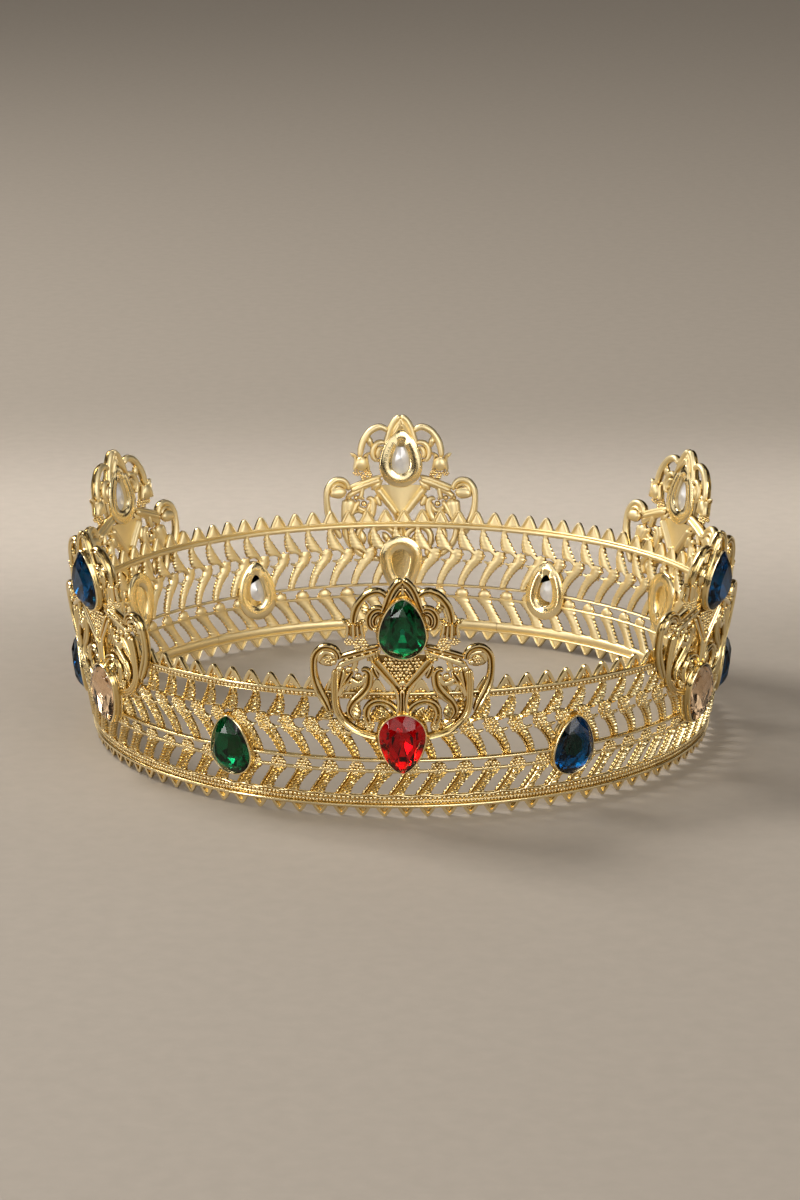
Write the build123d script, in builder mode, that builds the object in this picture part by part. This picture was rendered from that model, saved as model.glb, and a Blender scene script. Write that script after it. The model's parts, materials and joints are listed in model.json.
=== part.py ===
"""A full-round cast crown: six openwork band castings, six crests and eighteen pear stones.

The frame is the crown's own: +Z up, the origin on its axis, in the plane that its lower teeth
stand on. The front crest faces -Y. Azimuth is counted from the front, anticlockwise from above.
"""
from build123d import *
from math import atan, cos, radians, sin
import os

# ---------------------------------------------------------------- driving dimensions (mm)
SECTORS = 6
SECTOR_ANGLE = 360 / SECTORS
SEAM_AZIMUTH = -20.0          # a segment's first end, seen from its crest
STONE_AZIMUTH = 30.0          # the band stone, seen from the segment's crest

BASE_RADIUS = 79.15           # outside of the wall at Z = 0
FLARE = 0.155                 # how much the radius grows per mm of height
WALL = 1.6                    # thickness of the rails
LEAF_WALL = 0.9               # thickness of the leaves
LEAF_SINK = 0.4               # how far the leaves lie behind the rails' outer face
CREST_WALL = 1.6

# heights of the band's rails and teeth
FOOT_Z = 0.0
LOW_RAIL_Z = (2.5, 5.6)
MID_RAIL_Z = (14.3, 15.7)
TOP_RAIL_Z = (31.0, 32.9)
TOOTH_TIP_Z = 36.1

# how often each feature repeats in one segment, and where the first of each row starts
LOW_TEETH = 16
TOP_TEETH = 17
LOW_LEAVES = 13
TOP_LEAVES = 14               # the middle leaves and the round holes repeat with these
LOW_ROW_START = -2.5
TOP_ROW_START = -0.6

# The openings between the leaves, as (across, height) from each feature of their row
LOW_WINDOW = (
    (2.0, 11.3), (3.9, 11.2), (3.0, 9.75), (1.9, 8.25), (1.0, 7.0),
    (-0.1, 5.9), (-2.3, 5.9), (-2.1, 6.4), (-1.05, 8.25), (0.25, 10.0),
)
SMALL_WINDOW = ((1.9, 12.5), (4.6, 12.5), (4.6, 14.3), (1.9, 14.3))
MID_WINDOW = (
    (-1.2, 21.4), (-0.2, 20.9), (1.3, 19.5), (2.8, 17.75), (4.3, 15.8),
    (0.7, 15.8), (0.4, 17.5), (-0.4, 19.5),
)
ROUND_HOLE = (
    (-2.5, 25.0), (-1.1, 25.1), (-0.5, 24.5), (-0.5, 23.1), (-1.5, 22.3), (-2.5, 22.8), (-2.9, 24.0),
)
TOP_WINDOW = (
    (0.8, 30.8), (5.0, 30.7), (4.3, 28.75), (3.3, 27.25), (2.3, 25.75), (1.5, 24.8),
    (0.8, 25.1), (0.4, 25.6), (0.8, 26.5), (1.1, 27.75), (1.0, 29.5),
)
LOW_TOOTH_FIELD = ((-1.2, 2.3), (1.2, 2.3), (0.0, 0.8))
TOP_TOOTH_FIELD = ((-1.3, 33.2), (1.3, 33.2), (0.0, 35.1))
FIELD_DEPTH = 0.5             # how far a tooth's middle is sunk

PAD_LAP = 0.2
FOOT_WIDTH = 1.0
TIP_WIDTH = 0.9
TOOTH_GAP = 0.8

# pear stones, all of one size
PEAR_WIDTH = 11.0
PEAR_POINT = 9.7              # from the widest place to the point
PEAR_LENGTH = PEAR_WIDTH / 2 + PEAR_POINT
TABLE_SCALE = 0.56
CULET_SCALE = 0.06
GIRDLE = (0.75, 1.25)         # heights above the stone's seat
TABLE_HEIGHT = 3.5
CULET_HEIGHT = -0.45
SETTING_RIM = 0.55
SETTING_HEIGHT = 1.5
LEDGE_HEIGHT = 0.35
LEDGE_WIDTH = 1.3
GLUE_GAP = 0.03
BACK_WINDOW = (5.0, 8.6)
UPPER_STONE_Z = 50.4
LOWER_STONE_Z = 20.8
BAND_STONE_Z = 16.1

BLANK_TOP_Z = 66.0             # clear above the crests' tips

FLARE_ANGLE = atan(FLARE)
REACH = 60.0                  # a plane this far out is well inside the crown's wall
CUT = 50.0


# ---------------------------------------------------------------- places
def wall_radius(height):
    """Radius of the wall's outer face at a height."""
    return BASE_RADIUS + FLARE * height


def azimuth_point(azimuth, radius):
    """The X and Y of a point at an azimuth from the front."""
    angle = radians(azimuth)
    return radius * sin(angle), -radius * cos(angle)


def facing_plane(azimuth, reach=REACH):
    """An upright plane square to the radius: local X runs round the crown, local Y is Z."""
    x, y = azimuth_point(azimuth, 1.0)
    return Plane(origin=(x * reach, y * reach, 0), x_dir=(-y, x, 0), z_dir=(x, y, 0))


def profile_plane(azimuth):
    """The upright half plane at an azimuth: local X is the radius and local Y is Z."""
    x, y = azimuth_point(azimuth, 1.0)
    return Plane(origin=(0, 0, 0), x_dir=(x, y, 0), z_dir=(y, -x, 0))


def seat_plane(azimuth, height, proud=0.0, point_up=True):
    """The plane that touches the wall at a stone's centre, its local Y running to the point."""
    x, y = azimuth_point(azimuth, 1.0)
    outward = Vector(x * cos(FLARE_ANGLE), y * cos(FLARE_ANGLE), -sin(FLARE_ANGLE))
    middle = Vector(x * wall_radius(height), y * wall_radius(height), height)
    around = Vector(-y, x, 0) if point_up else Vector(y, -x, 0)
    return Plane(origin=middle + outward * proud, x_dir=around, z_dir=outward)


# ---------------------------------------------------------------- outlines
def pear(width=PEAR_WIDTH, length=PEAR_LENGTH):
    """A pear outline, centred on the middle of its length, its point towards +Y."""
    half = width / 2
    point = length - half
    drop = (point - half) / 2
    with BuildSketch() as shape:
        with BuildLine():
            ThreePointArc((-half, -drop), (0, -half - drop), (half, -drop))
            ThreePointArc((half, -drop), (0.8 * half, 0.565 * point - drop), (0, point - drop))
            ThreePointArc((0, point - drop), (-0.8 * half, 0.565 * point - drop), (-half, -drop))
        make_face()
    return shape.sketch


def grown_pear(margin):
    """A stone's outline, larger all round by a margin."""
    with BuildSketch() as shape:
        add(pear())
        offset(amount=margin, kind=Kind.ARC)
    return shape.sketch


def wall_strip(inner, outer, bottom, top):
    """A strip of the wall's profile; inner and outer are distances out from its outer face."""
    with BuildSketch() as strip:
        with BuildLine():
            Polyline(
                (wall_radius(bottom) + inner, bottom),
                (wall_radius(bottom) + outer, bottom),
                (wall_radius(top) + outer, top),
                (wall_radius(top) + inner, top),
                close=True,
            )
        make_face()
    return strip.sketch


def outline(points, start=0.0):
    """A closed outline through flat points, moved across by start."""
    with BuildSketch() as face:
        with BuildLine():
            Polyline(*[(across + start, height) for across, height in points], close=True)
        make_face()
    return face.sketch


def row_azimuths(count, phase=0.0):
    """The azimuths of a row's features, with one beyond each end of the segment."""
    pitch = SECTOR_ANGLE / count
    return [SEAM_AZIMUTH + (index + phase) * pitch for index in range(-1, count + 1)]


def notch(count, root, tip, tip_width):
    """The gap between two teeth, from the rail to the tips."""
    half = (wall_radius(root) * radians(SECTOR_ANGLE / count) - tip_width) / 2
    return outline(((-TOOTH_GAP / 2, root), (TOOTH_GAP / 2, root), (half, tip), (-half, tip)))


# ---------------------------------------------------------------- band segment
def stone_pad(azimuth, height, point_up):
    """A pear-shaped piece of full-thickness wall behind a stone, with its back window."""
    with BuildPart() as pad:
        with BuildSketch(seat_plane(azimuth, height, -CUT / 2, point_up)):
            add(grown_pear(SETTING_RIM))
            add(pear(*BACK_WINDOW), mode=Mode.SUBTRACT)
        extrude(amount=CUT)
        with BuildSketch(profile_plane(azimuth - SECTOR_ANGLE / 2)):
            add(wall_strip(-WALL, 0, FOOT_Z, TOOTH_TIP_Z))
        revolve(axis=Axis.Z, revolution_arc=SECTOR_ANGLE, mode=Mode.INTERSECT)
    return pad.part


def pad_cutter(azimuth, height, point_up):
    """The prism that clears the leaves where a stone pad goes."""
    with BuildPart() as cutter:
        with BuildSketch(seat_plane(azimuth, height, -CUT / 2, point_up)):
            add(grown_pear(SETTING_RIM - PAD_LAP))
        extrude(amount=CUT)
    return cutter.part


def make_band_segment():
    rows = (
        (outline(LOW_WINDOW, LOW_ROW_START), row_azimuths(LOW_LEAVES)),
        (outline(SMALL_WINDOW, LOW_ROW_START), row_azimuths(LOW_LEAVES)),
        (outline(MID_WINDOW, TOP_ROW_START), row_azimuths(TOP_LEAVES)),
        (outline(ROUND_HOLE, TOP_ROW_START), row_azimuths(TOP_LEAVES)),
        (outline(TOP_WINDOW, TOP_ROW_START), row_azimuths(TOP_LEAVES)),
        (notch(LOW_TEETH, LOW_RAIL_Z[0], FOOT_Z, FOOT_WIDTH), row_azimuths(LOW_TEETH)),
        (notch(TOP_TEETH, TOP_RAIL_Z[1], TOOTH_TIP_Z, TIP_WIDTH), row_azimuths(TOP_TEETH)),
    )
    fields = (
        (LOW_TOOTH_FIELD, row_azimuths(LOW_TEETH, phase=0.5)),
        (TOP_TOOTH_FIELD, row_azimuths(TOP_TEETH, phase=0.5)),
    )
    stones = ((0, LOWER_STONE_Z, False), (STONE_AZIMUTH, BAND_STONE_Z, True))
    pads = [stone_pad(*place) for place in stones]
    cutters = [pad_cutter(*place) for place in stones]
    with BuildPart() as segment:
        with BuildSketch(profile_plane(SEAM_AZIMUTH)):
            add(wall_strip(-LEAF_SINK - LEAF_WALL, -LEAF_SINK, LOW_RAIL_Z[0], TOP_RAIL_Z[1]))
            add(wall_strip(-WALL, 0, FOOT_Z, LOW_RAIL_Z[1]))
            add(wall_strip(-WALL, 0, *MID_RAIL_Z))
            add(wall_strip(-WALL, 0, TOP_RAIL_Z[0], TOOTH_TIP_Z))
        revolve(axis=Axis.Z, revolution_arc=SECTOR_ANGLE)
        for window, azimuths in rows:
            for azimuth in azimuths:
                with BuildSketch(facing_plane(azimuth)):
                    add(window)
        extrude(amount=CUT, mode=Mode.SUBTRACT)
        for points, azimuths in fields:
            middle = sum(height for _, height in points) / len(points)
            for azimuth in azimuths:
                with BuildSketch(facing_plane(azimuth, wall_radius(middle) - FIELD_DEPTH)):
                    add(outline(points))
        extrude(amount=CUT, mode=Mode.SUBTRACT)
        for cutter in cutters:
            add(cutter, mode=Mode.SUBTRACT)
        for pad in pads:
            add(pad)
    return segment.part


# ---------------------------------------------------------------- crest
def stroke(points, width):
    """One arm of the crest and its mirror image, as flat strips along a smooth line."""
    with BuildSketch() as arm:
        for side in (1, -1):
            with BuildLine():
                Spline(*[(side * x, z) for x, z in points])
            trace(line_width=width)
    return arm.sketch


# Each arm: its points, from the crest's middle line outwards (x, height), and its width.
ARMS = {
    "pointed arch": (
        [(0, 62.0), (1.4, 60.95), (2.3, 59.7), (3.0, 58.1), (3.45, 56.6), (4.5, 54.0)],
        1.6,
    ),
    "upper curl": (
        [(3.7, 57.5), (5.8, 58.65), (8.2, 57.7), (10.25, 55.2), (11.25, 52.0), (11.4, 50.2)],
        1.5,
    ),
    "inner curl": ([(4.3, 54.3), (5.9, 54.5), (7.4, 53.1), (7.6, 51.0), (6.4, 49.5)], 1.5),
    "inner shell": ([(4.9, 53.3), (6.0, 52.6), (6.5, 51.4), (6.2, 50.2)], 1.5),
    "curl leaf": ([(8.0, 53.3), (8.7, 56.5)], 1.4),
    "flower horns": ([(8.8, 51.6), (11.2, 49.8), (13.7, 51.6)], 1.4),
    "flower": ([(11.15, 50.6), (10.95, 46.2)], 4.4),
    "flower lobe": ([(9.7, 46.8), (9.5, 43.6)], 2.6),
    "bar": ([(5.0, 44.7), (9.5, 43.2), (14.6, 41.3)], 2.0),
    "bar edge": ([(6.8, 43.2), (10.2, 41.9), (14.2, 40.0)], 1.4),
    "big curl and leg": (
        [(15.0, 41.6), (15.4, 43.7), (17.2, 44.7), (19.4, 43.8), (20.6, 41.0), (20.6, 37.6),
         (19.6, 33.2), (16.9, 28.1)],
        1.6,
    ),
    "big curl disc": ([(15.8, 41.2), (19.6, 40.7)], 3.0),
    "stalk": (
        [(15.4, 39.2), (15.6, 33.0), (15.5, 29.5), (14.3, 26.6), (11.3, 23.8), (5.8, 22.0)],
        1.8,
    ),
    "stalk strand": ([(11.5, 39.9), (12.3, 37.6), (13.4, 35.6), (14.7, 32.6)], 1.8),
    "stalk middle": ([(13.4, 39.4), (14.3, 36.6), (15.0, 33.6)], 1.6),
    "hook stem": ([(10.8, 43.0), (11.0, 40.8), (11.6, 38.6)], 1.4),
    "hook": ([(8.4, 37.2), (8.9, 35.9), (9.9, 35.4), (11.0, 35.9), (12.1, 37.1)], 1.3),
    "s-scroll": (
        [(9.6, 38.8), (8.2, 38.5), (7.8, 37.0), (8.0, 35.2), (8.9, 33.4), (10.3, 31.8),
         (11.9, 30.3), (12.1, 28.2), (10.9, 26.3)],
        1.8,
    ),
    "s-scroll lobe": ([(10.3, 30.4), (10.3, 26.6)], 2.4),
    "small arch": ([(14.6, 33.0), (12.4, 35.2), (9.7, 34.0)], 1.0),
    "v-bar": ([(6.5, 41.7), (0.8, 33.2)], 2.2),
    "v-bar leaf": ([(6.9, 39.8), (5.4, 37.0)], 1.7),
    "stem": ([(0, 34.2), (0, 27.2)], 2.1),
    "lower curl": (
        [(0.9, 27.4), (1.7, 29.1), (2.9, 30.2), (5.2, 31.0), (7.2, 30.4), (8.1, 28.6),
         (7.6, 26.4), (6.9, 25.2)],
        1.9,
    ),
    "lower curl leaf": ([(3.0, 26.4), (4.7, 29.4)], 2.0),
    "lower knot": ([(7.8, 26.0), (7.4, 22.6)], 2.4),
}
# Each round boss and its mirror image: x, height and radius.
BOSSES = {
    "knob": (14.5, 39.7, 1.1),
    "strand eye": (12.7, 39.8, 1.2),
    "hook eye": (9.9, 37.5, 1.4),
}
# Solid webs on the middle line: their outlines (x, height), both sides.
WEBS = {
    "field": ((-6.3, 42.6), (6.3, 42.6), (0.9, 33.2), (-0.9, 33.2)),
    "arch web": ((0, 61.2), (2.9, 58.0), (4.2, 54.4), (0, 52.0), (-4.2, 54.4), (-2.9, 58.0)),
}


def crest_outline():
    """The crest seen from the front: X runs across and Y is the height."""
    with BuildSketch() as crest:
        for points, width in ARMS.values():
            add(stroke(points, width))
        for x, height, radius in BOSSES.values():
            with Locations((x, height), (-x, height)):
                Circle(radius)
        for points in WEBS.values():
            add(outline(points))
        add(Pos(0, UPPER_STONE_Z) * grown_pear(SETTING_RIM))
        add(Pos(0, LOWER_STONE_Z) * Rot(0, 0, 180) * grown_pear(SETTING_RIM))
    return crest.sketch


def make_crest():
    with BuildPart() as crest:
        with BuildSketch(facing_plane(0)):
            add(crest_outline())
        extrude(amount=CUT)
        with BuildSketch(profile_plane(-SECTOR_ANGLE / 2)):
            add(wall_strip(0, CREST_WALL, LOW_RAIL_Z[1], BLANK_TOP_Z))
        revolve(axis=Axis.Z, revolution_arc=SECTOR_ANGLE, mode=Mode.INTERSECT)
        for height, point_up in ((UPPER_STONE_Z, True), (LOWER_STONE_Z, False)):
            with BuildSketch(seat_plane(0, height, -CUT / 2, point_up)):
                add(pear(*BACK_WINDOW))
        extrude(amount=CUT, mode=Mode.SUBTRACT)
    return crest.part


# ---------------------------------------------------------------- settings and stones
def make_setting(azimuth, height, proud, point_up):
    """A bezel cup with an open back, its foot shaped to the wall it stands on."""
    with BuildPart() as setting:
        with BuildSketch(seat_plane(azimuth, height, proud - 1.0, point_up)):
            add(grown_pear(SETTING_RIM))
        extrude(amount=1.0 + SETTING_HEIGHT)
        with BuildSketch(seat_plane(azimuth, height, proud + LEDGE_HEIGHT, point_up)):
            add(grown_pear(GLUE_GAP))
        extrude(amount=SETTING_HEIGHT, mode=Mode.SUBTRACT)
        with BuildSketch(seat_plane(azimuth, height, proud - 2.0, point_up)):
            add(grown_pear(-LEDGE_WIDTH))
        extrude(amount=SETTING_HEIGHT + 2.0, mode=Mode.SUBTRACT)
        with BuildSketch(profile_plane(azimuth - SECTOR_ANGLE / 2)):
            add(wall_strip(-10, proud, FOOT_Z, BLANK_TOP_Z))
        revolve(axis=Axis.Z, revolution_arc=SECTOR_ANGLE, mode=Mode.SUBTRACT)
    return setting.part


def make_stone(azimuth, height, proud, point_up):
    """A pear-cut stone: sloped back, straight girdle, and a crown up to a flat table."""
    levels = (
        (CULET_HEIGHT, CULET_SCALE),
        (GIRDLE[0], 1.0),
        (GIRDLE[1], 1.0),
        (TABLE_HEIGHT, TABLE_SCALE),
    )
    with BuildPart() as stone:
        for (low, low_scale), (high, high_scale) in zip(levels, levels[1:]):
            with BuildSketch(seat_plane(azimuth, height, proud + low, point_up)):
                add(pear(PEAR_WIDTH * low_scale, PEAR_LENGTH * low_scale))
            with BuildSketch(seat_plane(azimuth, height, proud + high, point_up)):
                add(pear(PEAR_WIDTH * high_scale, PEAR_LENGTH * high_scale))
            loft(ruled=True)
    return stone.part


# ---------------------------------------------------------------- the crown
def write(shape, name, sector):
    """Turns a piece of the front sector to its own sector, labels it and writes it."""
    piece = Rot(0, 0, sector * SECTOR_ANGLE) * shape
    piece.label = f"{name}_{sector + 1}"
    export_step(piece, f"parts/{piece.label}.step")


pieces = {
    "band_segment": make_band_segment(),
    "crest": make_crest(),
    "upper_setting": make_setting(0, UPPER_STONE_Z, CREST_WALL, True),
    "lower_setting": make_setting(0, LOWER_STONE_Z, CREST_WALL, False),
    "band_setting": make_setting(STONE_AZIMUTH, BAND_STONE_Z, 0, True),
    "upper_stone": make_stone(0, UPPER_STONE_Z, CREST_WALL, True),
    "lower_stone": make_stone(0, LOWER_STONE_Z, CREST_WALL, False),
    "band_stone": make_stone(STONE_AZIMUTH, BAND_STONE_Z, 0, True),
}

os.makedirs("parts", exist_ok=True)
for sector in range(SECTORS):
    for name, shape in pieces.items():
        write(shape, name, sector)
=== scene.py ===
"""The looks of a full-round cast crown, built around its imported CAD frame.

Every casting is drawn flat, in mm, as (across, height, proud): across runs round the wall,
height is Z, and proud is how far a point stands out of the wall's outer face. It is then bent
onto the crown's conical wall. One of each piece is made, and turned to its six places.
"""
import json
from math import atan, cos, hypot, pi, radians, sin

import bmesh
import bpy
import numpy as np
from mathutils import Matrix, Vector


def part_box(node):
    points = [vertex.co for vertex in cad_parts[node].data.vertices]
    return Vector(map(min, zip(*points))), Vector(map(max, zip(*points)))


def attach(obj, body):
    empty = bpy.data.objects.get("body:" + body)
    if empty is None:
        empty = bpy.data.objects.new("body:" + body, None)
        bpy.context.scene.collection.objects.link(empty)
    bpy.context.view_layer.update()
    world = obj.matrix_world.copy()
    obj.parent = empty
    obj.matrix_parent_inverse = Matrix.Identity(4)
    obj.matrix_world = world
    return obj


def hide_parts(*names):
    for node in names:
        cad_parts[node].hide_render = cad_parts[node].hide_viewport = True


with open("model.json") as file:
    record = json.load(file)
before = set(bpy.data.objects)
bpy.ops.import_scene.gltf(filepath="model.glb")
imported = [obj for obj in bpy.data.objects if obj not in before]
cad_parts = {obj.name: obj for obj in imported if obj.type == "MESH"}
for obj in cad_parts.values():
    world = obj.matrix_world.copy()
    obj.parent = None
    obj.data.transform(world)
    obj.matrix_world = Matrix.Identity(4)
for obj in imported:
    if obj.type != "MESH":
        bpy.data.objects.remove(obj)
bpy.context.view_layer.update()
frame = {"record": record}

MM = 0.001
SECTORS = 6
SECTOR_ANGLE = 2 * pi / SECTORS

# The wall, as in the CAD part (mm and degrees)
BASE_RADIUS = 79.15
FLARE = 0.155
FLARE_ANGLE = atan(FLARE)
FLAT_RADIUS = 82.5            # where one mm across is one mm round the wall
SEAM = -20.0
STONE_AZIMUTH = 30.0
CREST_WALL = 1.6

# Heights of the band's rows
FOOT_TIP = 0.35
LOW_RAIL = 2.95
FINE_BEADS = 3.85
BEAD_LINE = 4.3
LOW_GROUND = 4.5              # the flat strip that the lower beads stand on
COARSE_BEADS = 4.9
SCALLOPS = 5.7
CROSSBAR = 12.0
SMALL_KNOTS = 13.0
MID_RAIL = 15.05
ROUND_HOLE = 23.75
TOP_EDGE = 30.95
TOP_BEADS = 31.5
TOP_GROUND = 31.55            # the flat strip that the upper beads stand on
TOP_RAIL = 32.5
TOOTH_TIP = 35.75
LOW_ROW_START = -2.5
TOP_ROW_START = -0.6

# How many teeth and leaves a segment has, as in the CAD part, and how wide the teeth are
LOW_TEETH = 16
TOP_TEETH = 17
LOW_TOOTH_WIDTH = 4.3
TOP_TOOTH_WIDTH = 4.5
LOW_LEAVES = 13
TOP_LEAVES = 14
SEGMENT_DEGREES = 60.0

# The mesh attribute "relief" carries painted shade: 1 on raised metal, down to 0 (dark brown
# painted shade) at the bottom of a recess, and INSIDE on the satin surfaces that face the wearer's
# head.
INSIDE = 1.5
GROUND = 0.55                 # painted shade on the strips between beads
GRANULE_SHADE = 0.15                   # deep painted shade on granulated bosses and fields

PEAR_WIDTH = 11.0
PEAR_POINT = 9.7
PEAR_LENGTH = PEAR_WIDTH / 2 + PEAR_POINT
BACK_WINDOW = (5.0, 8.6)      # width and length of the opening behind a stone
SETTING_RIM = 0.55            # how far a setting reaches past its stone
PAD_MARGIN = SETTING_RIM - 0.3     # the pear of wall that everything else is kept clear of

# Points round an outline
CLEARANCE_POINTS = 96
PAD_POINTS = 56
SETTING_POINTS = 72

rng = np.random.default_rng(7)


def middle_height(node):
    """The height of the middle of a CAD node, in mm."""
    low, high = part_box(node)
    return (low.z + high.z) / 2 / MM


# A stone leans out with the wall, so its seat is a little above the middle of its box.
SEAT_RISE = 0.2
UPPER_STONE = middle_height("upper_stone_1") + SEAT_RISE
LOWER_STONE = middle_height("lower_stone_1") + SEAT_RISE
BAND_STONE = middle_height("band_stone_1") + SEAT_RISE


# ------------------------------------------------------------------ from flat to the wall
def wall_radius(height):
    return BASE_RADIUS + FLARE * height


def bend(azimuth, height, proud):
    """Points at an azimuth (radians), a height and a distance proud of the wall, in metres."""
    radius = wall_radius(height) + proud * cos(FLARE_ANGLE)
    z = height - proud * sin(FLARE_ANGLE)
    return np.stack([radius * np.sin(azimuth), -radius * np.cos(azimuth), z], -1) * MM


def on_band(flat):
    across, height, proud = flat.T
    return bend(across / FLAT_RADIUS, height, proud)


def on_crest(flat):
    """A crest is drawn as seen from the front, so its width is measured straight across."""
    across, height, proud = flat.T
    return bend(np.arcsin(across / wall_radius(height)), height, proud + CREST_WALL)


# ------------------------------------------------------------------ mesh building
def grid_faces(rows, columns):
    """Quads between rings of points, each ring closed on itself."""
    row = np.arange(rows - 1)[:, None] * columns
    column = np.arange(columns)[None, :]
    after = (column + 1) % columns
    quads = [row + column, row + after, row + columns + after, row + columns + column]
    return np.stack(quads, -1).reshape(-1, 4).tolist()


def ring_caps(rows, columns):
    """The faces that close the first and the last ring."""
    last = (rows - 1) * columns
    return [list(range(columns))[::-1], list(range(last, last + columns))]


def ball(rings, around):
    """A unit ball: its points and faces."""
    points = [(0, 0, -1)]
    for ring in range(1, rings):
        angle = pi * ring / rings
        for step in range(around):
            turn = 2 * pi * step / around
            points.append((sin(angle) * cos(turn), sin(angle) * sin(turn), -cos(angle)))
    points.append((0, 0, 1))
    faces = []
    top = len(points) - 1
    for step in range(around):
        after = (step + 1) % around
        faces.append([0, 1 + after, 1 + step])
        for ring in range(rings - 2):
            low = 1 + ring * around
            faces.append([low + step, low + after, low + around + after, low + around + step])
        low = 1 + (rings - 2) * around
        faces.append([low + step, low + after, top])
    return np.array(points), faces


BALL = ball(rings=5, around=7)


def face_outwards(mesh):
    """Turns every face of each closed shape outwards."""
    work = bmesh.new()
    work.from_mesh(mesh)
    bmesh.ops.recalc_face_normals(work, faces=work.faces)
    work.to_mesh(mesh)
    work.free()


class Casting:
    """Collects closed shapes, drawn flat, into one mesh."""

    def __init__(self, to_wall):
        self.to_wall = to_wall
        self.points = []
        self.relief = []
        self.faces = []
        self.count = 0

    def add(self, flat, faces, relief=1.0):
        flat = np.asarray(flat, float)
        self.points.append(flat)
        self.relief.append(np.broadcast_to(relief, len(flat)))
        self.faces += [[index + self.count for index in face] for face in faces]
        self.count += len(flat)

    def ball(self, across, height, proud, radius, flatness=0.8):
        points, faces = BALL
        size = np.array([radius, radius, radius * flatness])
        # painted shade: each bead is darker round its rim, where it meets the ground, and lightest
        # at its front
        relief = np.clip(0.35 + 0.9 * np.abs(points[:, 2]), 0, 1)
        self.add(points * size + np.array([across, height, proud]), faces, relief)

    def make(self, name, clear, body):
        """The mesh, bent onto the wall, once each function in clear has moved the first body
        points out of the way of a stone."""
        flat = np.concatenate(self.points)
        for push in clear:
            flat[:body] = push(flat[:body])
        mesh = bpy.data.meshes.new(name)
        mesh.from_pydata(self.to_wall(flat).tolist(), [], self.faces)
        relief = mesh.attributes.new("relief", "FLOAT", "POINT")
        relief.data.foreach_set("value", np.concatenate(self.relief).astype(np.float32))
        face_outwards(mesh)
        return mesh


def smooth_line(points, step):
    """A smooth line through the points, with every column carried along, about step apart."""
    points = np.asarray(points, float)
    before = 2 * points[0] - points[1]
    after = 2 * points[-1] - points[-2]
    padded = np.vstack([before, points, after])
    line = []
    for index in range(1, len(padded) - 2):
        a, b, c, d = padded[index - 1:index + 3]
        count = max(2, int(np.ceil(hypot(*(c - b)[:2]) / step)))
        for t in np.arange(count) / count:
            line.append(
                b
                + (c - a) * t / 2
                + (2 * a - 5 * b + 4 * c - d) * t**2 / 2
                + (3 * b - 3 * c + d - a) * t**3 / 2
            )
    line.append(points[-1])
    return np.array(line)


def fluted_section(ridges, front_steps, back_steps=5, boxy=False):
    """A bar's outline: where each point lies across (-1 to 1), and its rise to the front and
    back. The front has rounded ridges with sharp grooves between, and the back is rounded."""
    across = np.cos(np.linspace(pi, 0, front_steps))
    edge = (1 - across ** (10 if boxy else 4)) ** 0.5
    # painted shade: the relief falls off towards the bar's edges
    relief = 0.25 + 0.75 * edge
    if ridges > 1:
        ridge = np.abs(np.sin(pi * ridges * (across + 1) / 2)) ** 0.6
        edge = edge * (0.45 + 0.55 * ridge)
        # painted shade in the grooves between the ridges
        relief = relief * (0.1 + 0.9 * ridge)
    back = np.cos(np.linspace(0, pi, back_steps + 2))[1:-1]
    depth = (1 - back**2) ** 0.5
    zeros = np.zeros
    return (
        np.concatenate([across, back]),
        np.concatenate([edge, zeros(back_steps)]),
        np.concatenate([zeros(front_steps), depth]),
        np.concatenate([relief, INSIDE * np.ones(back_steps)]),
    )


def bar(casting, points, rise, depth, lift, ridges=1, round_ends=True, step=0.5, boxy=False,
        painted_lightness=1.0):
    """A rounded bar along a line of (across, height, width). It stands rise in front of lift
    and depth behind it. Its last argument scales the relief of its front: below 1 it paints
    the front darker, as painted shade."""
    line = smooth_line(points, step)
    middle, width = line[:, :2], line[:, 2] / 2
    along = np.gradient(middle, axis=0)
    along /= np.linalg.norm(along, axis=1)[:, None] + 1e-9
    side = np.stack([along[:, 1], -along[:, 0]], -1)
    length = np.concatenate([[0], np.cumsum(np.linalg.norm(np.diff(middle, axis=0), axis=1))])
    end = np.ones(len(line))
    if round_ends:
        from_end = np.minimum(length, length[-1] - length)
        end = np.clip(from_end / np.maximum(width, 0.1), 0, 1)
        end = np.sqrt(np.clip(1 - (1 - end) ** 2, 0.03, 1))
    steps = 7 if ridges == 1 else 4 * ridges + 1
    across, front, back, relief = fluted_section(ridges, steps, boxy=boxy)
    columns = len(across)
    flat = np.empty((len(line), columns, 3))
    reach = across[None] * (width * end)[:, None]
    flat[..., :2] = middle[:, None] + side[:, None] * reach[..., None]
    flat[..., 2] = lift + front[None] * rise * end[:, None] - back[None] * depth * end[:, None]
    faces = grid_faces(len(line), columns) + ring_caps(len(line), columns)
    # painted shade: the front's relief is scaled down
    relief = np.where(back > 0, relief, relief * painted_lightness)
    casting.add(flat.reshape(-1, 3), faces, np.tile(relief, len(line)))


LEAF_DEPTH = 0.9
LEAF_FULL = 0.55              # how far along a leaf is widest
LEAF_LEAN = 0.6               # how far its ribs slant
LEAF_RIB_DEPTH = 0.8


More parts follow.
